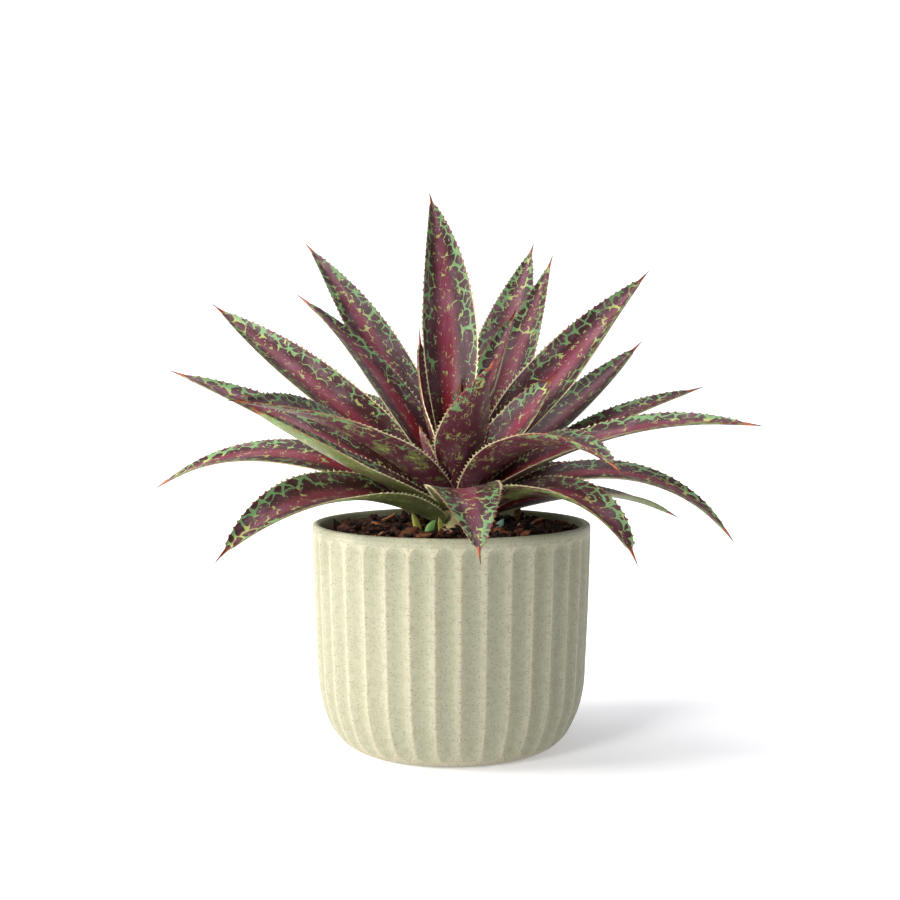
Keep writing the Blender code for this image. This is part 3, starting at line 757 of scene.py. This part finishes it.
        across = np.concatenate([over, [1.0], under, [-1.0]])
        face = np.concatenate([np.ones(len(over)), [0.5], np.zeros(len(under)), [0.5]])
        length = self.plan.length
        horn = min(self.spine_length, self.spine_share * length)
        to_tip = (1 - s) * length
        grid = np.ones_like(rings[..., 0])
        half = self.half_width(s)[:, None]
        from_edge = (1 - np.abs(across))[None] * half
        from_edge[:, len(over)] = -right_out
        from_edge[:, -1] = -left_out
        shift = self.seed * np.array(self.pattern_shift)
        plan = np.stack([across * half + shift[0], s[:, None] * length * grid + shift[1], 0 * grid], -1)
        share = np.stack([np.abs(across) * grid, s[:, None] * grid, face * grid], -1)
        green_below = np.clip((self.maroon_from_deg - self.plan.rise) / self.green_fade_deg, 0.0, 1.0)
        rim = np.stack([from_edge, to_tip[:, None] * self.spine_length / horn * grid, green_below * grid], -1)

        _, tangent, side, normal = leaf_frame(self.plan, s)
        middle = rings.mean(1)
        spoke = rings - middle[:, None]
        turn = np.arctan2((spoke * normal[:, None]).sum(-1), (spoke * side[:, None]).sum(-1))
        radius = (0.08 + self.spine_radius * np.clip(to_tip / horn, 0, 1) ** 1.15)[:, None, None]
        round_ring = middle[:, None] + radius * (
            np.cos(turn)[..., None] * side[:, None] + np.sin(turn)[..., None] * normal[:, None]
        )
        blend = np.clip((horn + 3.0 - to_tip) / 4.0, 0, 1)
        blend = (blend * blend * (3 - 2 * blend))[:, None, None]
        rings = rings * (1 - blend) + round_ring * blend
        return rings, {"plan": plan, "share": share, "rim": rim}

    def build(self, skin: Material) -> None:
        """Makes the leaf and dresses it.

        Args:
            skin: the leaf's material.
        """
        rings, facts = self.rings()
        piece = loft("blade_" + self.plan.name[-2:], rings, 50.0)
        for name, values in facts.items():
            tag(piece, name, with_ends(values))
        settle(piece, skin, Slot.LEAF, self.plan.name)


@dataclass
class Rosette:
    """All the leaves, from the lowest to the furled ones at the heart."""

    plans: tuple[LeafPlan, ...] = LEAVES
    first_seed: int = 101

    def build(self) -> None:
        """Grows each leaf and gives it the leaf skin."""
        skin = SucculentLeafSkin().make()
        for number, plan in enumerate(self.plans):
            MangaveLeaf(plan, self.first_seed + number).build(skin)


@dataclass
class FlutedPot:
    """The round stoneware pot with hollow flutes under a plain rim and a smooth wall inside."""

    height: float = 120.0
    rim_radius: float = 75.0
    shoulder_radius: float = 72.4
    shoulder_height: float = 43.0
    foot_radius: float = 49.7
    wall: float = 4.0
    floor: float = 6.0
    flutes: int = 36
    flute_arc: float = 17.1
    arch_start: float = 109.4
    first_ridge_deg: float = -86.7
    columns_a_flute: int = 14
    ridge_softness: float = 0.17
    # The flutes run out over the last of the wall above the foot.
    fade_depth: float = 1.4
    fade_from: float = 12.0
    fade_over: float = 11.0
    hollow_depth: float = 1.3
    band_from: float = 115.0
    band_tone: float = 0.8
    wrap_turns_at: float = 260.0

    def plain_radius(self, z: Array) -> Array:
        """Gives the outer radius with no flutes, at heights z."""
        t = (self.height - z) / (self.height - self.shoulder_height)
        t = np.clip(t, 0, None)
        upper = self.rim_radius + (self.shoulder_radius - self.rim_radius) * (0.55 * t + 0.45 * t**2.2)
        u = np.arcsin(np.clip(1 - z / self.shoulder_height, -1, 1))
        lower = self.foot_radius + (self.shoulder_radius - self.foot_radius) * np.cos(u) ** 0.95
        return np.where(z >= self.shoulder_height, upper, lower)

    def fluted(self, radius: Array, z: Array, turn: Array) -> Array:
        """Hollows the wall with its flutes, whose edges are softened as a glaze softens them.

        Args:
            radius: n plain radii.
            z: n heights.
            turn: m angles from the first ridge, in radians.

        Returns:
            n by m radii.
        """
        pitch_angle = math.tau / self.flutes
        off = (turn / pitch_angle % 1.0 - 0.5) * pitch_angle
        pitch = radius * pitch_angle
        fade = self.fade_depth * np.clip((self.fade_from - z) / self.fade_over, 0, 1) ** 2
        depth = 1.04 * pitch**2 / (8 * self.flute_arc) - fade
        centre = (radius + self.flute_arc - depth)[:, None]
        arc = self.flute_arc**2 - np.clip(z - self.arch_start, 0, None)[:, None] ** 2
        inside = arc - (centre * np.sin(off)[None]) ** 2
        cut = centre * np.cos(off)[None] - np.sqrt(np.clip(inside, 0, None))
        cut = np.where(inside > 0, cut, radius[:, None] + 5.0)
        soft = self.ridge_softness
        gap = np.clip(0.5 + 0.5 * (cut - radius[:, None]) / soft, 0, 1)
        return cut * (1 - gap) + radius[:, None] * gap - soft * gap * (1 - gap)

    def build(self) -> None:
        """Turns the wall, lip and inside as one piece and glazes it."""
        columns = self.flutes * self.columns_a_flute
        turn = np.arange(columns) / columns * math.tau
        z = np.concatenate([
            [0.25, 0.8, 1.6, 2.6, 4.0, 5.6, 7.4, 9.4, 11.6, 14.0],
            np.linspace(17.0, 106.0, 34),
            np.linspace(107.5, 117.0, 24),
        ])
        outer = self.fluted(self.plain_radius(z), z, turn)
        inner = self.rim_radius - self.wall
        lip = [(74.93, 117.8), (74.9, 118.6), (74.6, 119.4), (74.0, 119.9), (73.1, 120.0), (72.2, 119.95)]
        lip += [(71.5, 119.5), (71.1, 118.8), (inner, 117.5), (inner, 112.0), (inner - 0.6, 76.0)]
        lip += [(inner - 4.0, 40.0), (58.0, 18.0), (48.2, self.floor), (24.0, self.floor), (1.0, self.floor)]
        foot = [(1.0, 0.0), (24.0, 0.0), (46.0, 0.0), (48.9, 0.02)]
        rows = [(r * np.ones(columns), h) for r, h in foot]
        rows += list(zip(outer, z, strict=True))
        rows += [(r * np.ones(columns), h) for r, h in lip]
        way = turn + math.radians(self.first_ridge_deg)
        piece = loft("fluted_pot", np.stack([circle(r, way, h) for r, h in rows]), 60.0)

        # How near each point lies to a ridge, from 1 on the ridges to 0 deep in the flutes. The glaze reads
        # it for pooled glaze with painted shade in the flutes and a pale break with a painted highlight on
        # the ridges.
        plain = self.plain_radius(z)
        ridge = np.zeros((len(rows), columns))
        hollow = np.clip(1 - (plain[:, None] - outer) / self.hollow_depth, 0, 1)
        outside = len(foot) + len(z)
        ridge[len(foot) : outside] = np.where((z < self.band_from)[:, None], hollow, self.band_tone)
        heights = np.array([h for _, h in rows], float)
        climb = np.where(np.arange(len(rows)) < outside, heights, self.wrap_turns_at - heights)
        seam = np.minimum(turn, 2 * math.pi - turn) * self.rim_radius
        wrap = np.stack([np.tile(seam, (len(rows), 1)), np.tile(climb[:, None], (1, columns)), ridge], -1)
        tag(piece, "wrap", with_ends(wrap))
        settle(piece, StonewareGlaze().make(), Slot.POT, "pot")


@dataclass
class BarkMix:
    """The filled pot's mix: a crumbly bed and a loose top of bark chips and a few dry slivers."""

    inner_radius: float = 70.7
    edge_height: float = 115.5
    crown: float = 3.1
    bottom: float = 6.3
    bed_drop: float = 1.0
    chips: int = 560
    seed: int = 23
    chip_ring: Pair = (11.0, 58.0)
    chip_lengths: tuple[float, ...] = (3.2, 4.6, 6.2, 8.6)
    chip_odds: tuple[float, ...] = (0.34, 0.34, 0.24, 0.08)
    sliver_tone: float = 0.90
    # Foot x and y, length, width, thickness, turn and lean of the slivers that stand out in the photo.
    slivers: tuple[tuple[float, ...], ...] = (
        (37.0, 25.0, 11.5, 3.4, 1.0, 75.0, 68.0),
        (1.0, 3.0, 8.0, 3.2, 1.2, 100.0, 25.0),
        (-40.0, 2.0, 7.5, 4.2, 1.6, 150.0, 12.0),
        (-34.0, 12.0, 9.5, 3.6, 1.5, 30.0, 22.0),
        (27.0, -34.0, 8.5, 2.8, 1.2, 200.0, 8.0),
        (46.0, 8.0, 9.0, 2.6, 1.1, 320.0, 30.0),
        (-14.0, -46.0, 8.0, 3.0, 1.2, 15.0, 6.0),
    )

    def surface(self, x: float, y: float) -> float:
        """Gives the height of the top of the bed at a place."""
        share = min(1.0, math.hypot(x, y) / self.inner_radius)
        rough = noise.noise(Vector((x / 9.0, y / 9.0, 3.0))) * 1.1
        rough += noise.noise(Vector((x / 2.4, y / 2.4, 7.0))) * 0.55
        return self.edge_height - self.bed_drop + self.crown * (1 - share**2) + rough

    def bed(self) -> Piece:
        """Models the body of the mix, with a rough top.

        Returns:
            The piece.
        """
        columns = 180
        turn = np.arange(columns) / columns * math.tau
        side = [(r, self.bottom) for r in (1.0, 24.0, 47.9)]
        side += [(58.0, 18.5), (66.7, 40.0), (70.0, 76.0), (self.inner_radius, 112.0)]
        rows = [circle(r, turn, h) for r, h in side]
        for r in np.linspace(self.inner_radius, 0.8, 58):
            rows.append([(x, y, self.surface(x, y)) for x, y, _ in circle(r, turn, 0.0)])
        return loft("mix_bed", np.array(rows))

    def slab(self, rng: np.random.Generator, size: Triple, jag: float) -> Array:
        """Shapes one chip: a torn, slightly curled slab along x.

        Args:
            rng: the mix's draws.
            size: length, width and thickness.
            jag: how torn it is, as a share of its size.

        Returns:
            Eight rings of eight points, before turning.
        """
        length, width, thick = size
        along = np.array([-1.0, -0.93, -0.6, -0.2, 0.25, 0.62, 0.92, 1.0])
        shape = np.array([0.25, 0.72, 0.95, 1.0, 0.97, 0.85, 0.6, 0.2])
        corner = np.array(
            [(1, 0.4), (0.75, 1), (-0.1, 1.1), (-0.8, 0.9), (-1, -0.3), (-0.7, -1), (0.2, -1), (0.9, -0.8)]
        )
        rings = np.zeros((8, 8, 3))
        rings[..., 0] = along[:, None] * length / 2
        rings[..., 1] = shape[:, None] * corner[None, :, 0] * width / 2
        rings[..., 2] = shape[:, None] ** 0.6 * corner[None, :, 1] * thick / 2
        rings += rng.normal(0, jag, rings.shape) * (0.5 * width, 0.5 * width, 0.55 * thick)
        rings[..., 0] += rng.normal(0, jag, 8)[None] * length * 0.35
        curl = rng.normal(0, 0.12) * length
        rings[..., 2] += curl * (rings[..., 0] / length) ** 2 * 2 + rng.normal(0, 0.25) * rings[..., 1]
        return rings

    def pile(self) -> Piece:
        """Scatters the chips over the bed and stands the slivers among them.

        Returns:
            The piece.
        """
        rng = np.random.default_rng(self.seed)
        points, faces, tones, fibres = [], [], [], []
        block = tube_faces(8, 8)

        def lay(rings: Array, turn: Euler, place: Triple, tone: float) -> None:
            """Turns one chip, sets it down and keeps its tone and grain."""
            flat = with_ends(rings)
            moved = flat @ np.array(turn.to_matrix()).T + place
            reach = np.hypot(moved[:, 0], moved[:, 1]).max()
            if reach > self.inner_radius - 0.2:
                moved[:, :2] *= (self.inner_radius - 0.2) / reach
            faces.append(block + len(points) * len(flat))
            points.append(moved)
            tones.append(np.tile((tone, 0.0, 0.0), (len(flat), 1)))
            fibres.append(flat + rng.uniform(0, 300, 3))

        for k in range(self.chips):
            radius = self.chip_ring[0] + self.chip_ring[1] * math.sqrt((k + 0.5) / self.chips)
            way = k * math.radians(GOLDEN_TURN_DEG) + rng.normal(0, 0.05)
            length = rng.choice(self.chip_lengths, p=self.chip_odds) * rng.uniform(0.8, 1.2)
            size = (length, length * rng.uniform(0.35, 0.75), rng.uniform(0.9, 2.0) * (0.7 + length / 14))
            x, y = PLANT_X + radius * math.cos(way), radius * math.sin(way)
            fit = min(1.0, (self.inner_radius - 2.0) / math.hypot(x, y))
            x, y = x * fit, y * fit
            lean = (rng.normal(0, 0.35), rng.normal(0, 0.35), rng.uniform(0, 6.28))
            height = self.surface(x, y) + rng.uniform(0.2, 1.9)
            bright = float(np.clip(rng.beta(1.7, 2.6) + (rng.random() < 0.04) * 0.4, 0.02, 0.98))
            lay(self.slab(rng, size, 0.14), Euler(lean), (x, y, height), bright)
        for x, y, length, width, thick, turn, lean in self.slivers:
            tilt = Euler((0.25, -math.radians(lean), math.radians(turn)))
            rise = self.surface(x, y) + 1.4 + 0.5 * length * math.sin(math.radians(lean))
            lay(self.slab(rng, (length, width, thick), 0.08), tilt, (x, y, rise), self.sliver_tone)
        piece = new_piece("bark_chips", np.concatenate(points), np.concatenate(faces), 32.0)
        tag(piece, "bark", np.concatenate(tones))
        tag(piece, "fibre", np.concatenate(fibres))
        return piece

    def build(self) -> None:
        """Makes the bed and its chips and dresses them."""
        settle(self.bed(), PottingFines().make(), Slot.MIX, "potting_mix")
        settle(self.pile(), ChippedBark().make(), Slot.MIX, "potting_mix")


@dataclass(frozen=True)
class Shoot:
    """A pup or a leaflet that comes up beside the stem: its path and its size in mm."""

    name: str
    node: str
    foot: Triple
    bend: Triple
    tip: Triple
    width: float
    flat: float
    skin: ShootSkin


FRESH = ShootSkin("fresh_shoot_skin", "c9c08a", "8d8f3f", "5a3a1f")
GREEN = ShootSkin("green_leaflet_skin", "8fa05a", "5f8a45", "4a6e35")
BLUE = ShootSkin("bluish_leaflet_skin", "a9b39a", "6f9080", "3f6a58")

SHOOTS: tuple[Shoot, ...] = (
    Shoot("pup_01", "shoot_01", (-17, -15, 114.5), (-18, -15.5, 121), (-21, -16, 127), 4.4, 0.75, FRESH),
    Shoot("pup_02", "shoot_02", (-5, -21, 114.5), (-5.2, -21.5, 120), (-6.6, -23, 125.5), 3.6, 0.75, FRESH),
    Shoot("leaflet_01", "shoot_04", (-12, -25, 114.5), (-12, -25.2, 120), (-8, -26.2, 124), 5.0, 0.35, GREEN),
    Shoot("leaflet_02", "shoot_03", (25, -10, 114.5), (25, -10.2, 119.5), (28, -12, 123), 4.4, 0.35, BLUE),
)


@dataclass
class Offsets:
    """The young shoots round the plant's foot."""

    shoots: tuple[Shoot, ...] = SHOOTS
    shares: tuple[float, ...] = (0.0, 0.1, 0.2, 0.3, 0.4, 0.5, 0.6, 0.7, 0.8, 0.88, 0.95, 1.0)
    around: int = 16

    def build_one(self, shoot: Shoot, skin: Material) -> None:
        """Bends one shoot and skins it as a flattened tube with a groove down one side.

        Args:
            shoot: its path and size.
            skin: its material.
        """
        t = np.array(self.shares)[:, None]
        foot, bend, tip = (np.array(p, float) for p in (shoot.foot, shoot.bend, shoot.tip))
        path = (1 - t) ** 2 * foot + 2 * t * (1 - t) * bend + t**2 * tip
        ahead = 2 * (1 - t) * (bend - foot) + 2 * t * (tip - bend)
        ahead /= np.linalg.norm(ahead, axis=1)[:, None]
        side = np.cross(ahead, (0.0, -1.0, 0.0))
        side /= np.linalg.norm(side, axis=1)[:, None]
        front = np.cross(side, ahead)
        swell = np.interp(t[:, 0], (0, 0.25, 0.6, 0.85, 1), (0.75, 1.0, 0.85, 0.45, 0.06))
        half = (swell * shoot.width / 2)[:, None]
        turn = np.arange(self.around) / self.around * math.tau
        groove = 1 - 0.22 * np.exp(-(((turn - 1.3) / 0.35) ** 2))
        wide = (half * np.cos(turn) * groove)[..., None] * side[:, None]
        deep = (half * shoot.flat * np.sin(turn) * groove)[..., None] * front[:, None]
        rings = path[:, None] + wide + deep
        piece = loft(shoot.name, rings, 60.0)
        grid = np.ones(rings.shape[:2])
        grow = np.stack([t * grid, turn[None] * half * grid, t * 12.0 * grid], -1)
        tag(piece, "grow", with_ends(grow))
        settle(piece, skin, Slot.SHOOT, shoot.node)

    def build(self) -> None:
        """Makes every shoot, one material for each kind of skin."""
        skins: dict[str, Material] = {}
        for shoot in self.shoots:
            name = shoot.skin.name
            skins[name] = skins.get(name) or shoot.skin.make()
            self.build_one(shoot, skins[name])


@dataclass
class Stem:
    """The short stem that the leaves sit on, ringed with their scars."""

    bottom: float = 100.0
    top: float = 147.0
    radius: float = 8.0
    top_radius: float = 6.6
    scar_pitch: float = 3.1
    scar_depth: float = 0.22

    def build(self) -> None:
        """Turns the stem with its scars and dresses it."""
        turn = np.arange(48) / 48 * math.tau
        heights = np.linspace(self.bottom, self.top, 96)
        rings = []
        for z in heights:
            share = (z - self.bottom) / (self.top - self.bottom)
            phase = 2 * math.pi * z / self.scar_pitch
            scar = self.scar_depth * (np.cos(phase + 2 * turn) ** 2 - 1)
            r = self.radius + (self.top_radius - self.radius) * share + scar
            r = r * min(1.0, 0.35 + 12 * (1 - share))
            rings.append(circle(r, turn, z, PLANT_X))
        rings = np.array(rings)
        piece = loft("scarred_stem", rings)
        share = ((heights - self.bottom) / (self.top - self.bottom))[:, None]
        grid = np.ones(rings.shape[:2])
        grow = np.stack([share * grid, turn * self.radius * grid, heights[:, None] * grid], -1)
        tag(piece, "grow", np.concatenate([grow.reshape(-1, 3), grow[0, :1], grow[-1, :1]]))
        skin = ShootSkin("scarred_stem_skin", "6b5a3c", "a89f6c", "8f9a5a")
        settle(piece, skin.make(), Slot.STEM, "stem")


@dataclass
class Studio:
    """A pale sweep, soft light from the left and the camera at the photo's angle. Metres and degrees."""

    camera_place: Triple = (-0.00075, -0.780, 0.210)
    camera_pitch_deg: float = 3.75
    lens_mm: float = 58.0
    paper: str = "f4f4f6"
    glow_strength: float = 0.80
    flat_radius: float = 1.35
    rim_radius: float = 5.0
    rim_height: float = 2.6
    sky: str = "f6f8ff"
    sky_strength: float = 0.20
    # Name, place, side, watts and colour of each soft box.
    boxes: tuple[tuple[str, Triple, float, float, str], ...] = (
        ("key_box", (-1.55, -0.3, 0.55), 0.7, 34.0, "fffaf4"),
        ("front_box", (-0.95, -1.3, 0.6), 0.4, 17.0, "fffdf9"),
        ("fill_box", (0.7, -1.6, 0.9), 1.4, 2.0, "f4f7ff"),
        ("top_box", (-0.2, 0.1, 1.5), 0.9, 11.0, "ffffff"),
    )

    def sweep(self) -> None:
        """Makes the floor, which curves up far from the object on every side."""
        turn = np.arange(96) / 96 * math.tau
        curve = np.linspace(self.flat_radius + 0.12, self.rim_radius, 30)
        rows = []
        for r in [*np.linspace(0.2, self.flat_radius, 6), *curve]:
            over = max(0.0, (r - self.flat_radius) / (self.rim_radius - self.flat_radius))
            rows.append(circle(r, turn, self.rim_height * over**2.4))
        grid = np.array(rows) / MM
        count, around, _ = grid.shape
        points = np.concatenate([grid.reshape(-1, 3), [[0.0, 0.0, 0.0]]])
        faces = tube_faces(count, around)
        faces = faces[(faces < count * around + 1).all(1)]
        floor = new_piece("paper_sweep", points, faces[:, ::-1])
        g = Shader("matte_backdrop_paper")
        place = g.add("TexCoord", out="Object")
        tooth = g.add("TexNoise", place, named={"Scale": 900.0, "Detail": 2.0})
        tone = g.paint(self.paper, (g.step(tooth, 0.4, 0.9, 0.0, 0.08), "e9e9ec"))
        behind = g.add("SeparateXYZ", place, out=1)
        glow = g.step(behind, -0.6, 1.3, 0.12, self.glow_strength)
        light = {"Emission_Color": linear("fbfbff"), "Emission_Strength": glow}
        look = g.finish(tone, 0.9, g.bump(tooth, 0.02), IOR=1.45, Specular_IOR_Level=0.2, **light)
        floor.data.materials.append(look)

    def lamp(self, name: str, place: Triple, size: float, power: float, tint: str) -> None:
        """Hangs a square soft box that faces the plant.

        Args:
            name: its name.
            place: where it hangs.
            size: its side.
            power: watts.
            tint: its colour.
        """
        data = bpy.data.lights.new(name, "AREA")
        data.shape, data.size, data.energy = "SQUARE", size, power
        data.color = linear(tint)[:3]
        made = bpy.data.objects.new(name, data)
        made.location = place
        made.rotation_euler = (Vector((0.0, 0.0, 0.14)) - Vector(place)).to_track_quat("-Z", "Y").to_euler()
        bpy.context.scene.collection.objects.link(made)

    def build(self) -> None:
        """Sets the sweep, the sky, the soft boxes, the view and the camera."""
        self.sweep()
        world = bpy.data.worlds.new("soft_sky")
        bpy.context.scene.world = world
        world.use_nodes = True
        back = world.node_tree.nodes["Background"]
        back.inputs["Color"].default_value = linear(self.sky)
        back.inputs["Strength"].default_value = self.sky_strength
        for box in self.boxes:
            self.lamp(*box)
        bpy.context.scene.view_settings.view_transform = "Standard"
        camera = bpy.data.objects.new("photo_camera", bpy.data.cameras.new("photo_camera"))
        camera.data.lens = self.lens_mm
        camera.data.sensor_width = 36.0
        camera.location = self.camera_place
        camera.rotation_euler = (math.radians(90 - self.camera_pitch_deg), 0.0, 0.0)
        bpy.context.scene.collection.objects.link(camera)
        bpy.context.scene.camera = camera


def main() -> None:
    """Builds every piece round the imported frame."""
    logging.basicConfig(level=logging.INFO, format="%(name)s: %(message)s")
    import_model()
    FlutedPot().build()
    BarkMix().build()
    Stem().build()
    Offsets().build()
    Rosette().build()
    Studio().build()


if __name__ == "__main__":
    main()
